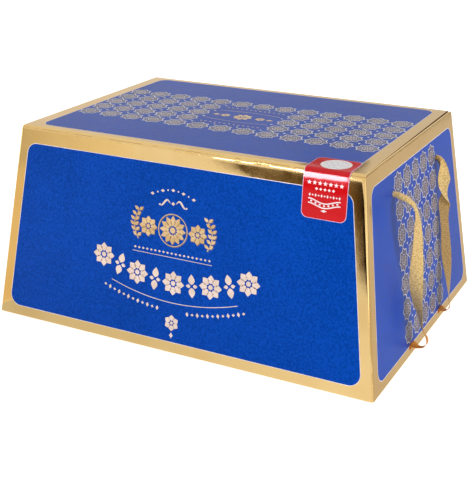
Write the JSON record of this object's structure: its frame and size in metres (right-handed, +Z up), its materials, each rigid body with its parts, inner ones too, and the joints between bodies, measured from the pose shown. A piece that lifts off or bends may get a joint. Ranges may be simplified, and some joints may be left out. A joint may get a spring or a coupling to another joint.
{
  "type": "gift carton of colomba easter bread",
  "caption": "Shut tapered gift carton for a festive bread, gold foil borders, printed fields, two ribbon handles on one end and a seal label over the front fold.",
  "frame": {"origin": "middle of the carton's base, on the surface it stands on", "axes": "+X along the carton's length towards the ribbon end, +Y from the front panel to the back, +Z up"},
  "size_m": [0.3729, 0.2638, 0.1726],
  "materials": {
    "foil_board": "gold foil laminated board with satin blue printed fields",
    "ribbon": "gold metallic woven ribbon",
    "label": "glossy red label with a silver seal"
  },
  "bodies": {
    "root": {"carton": "foil_board", "ribbon_front": "ribbon", "ribbon_back": "ribbon", "label": "label"}
  },
  "joints": []
}
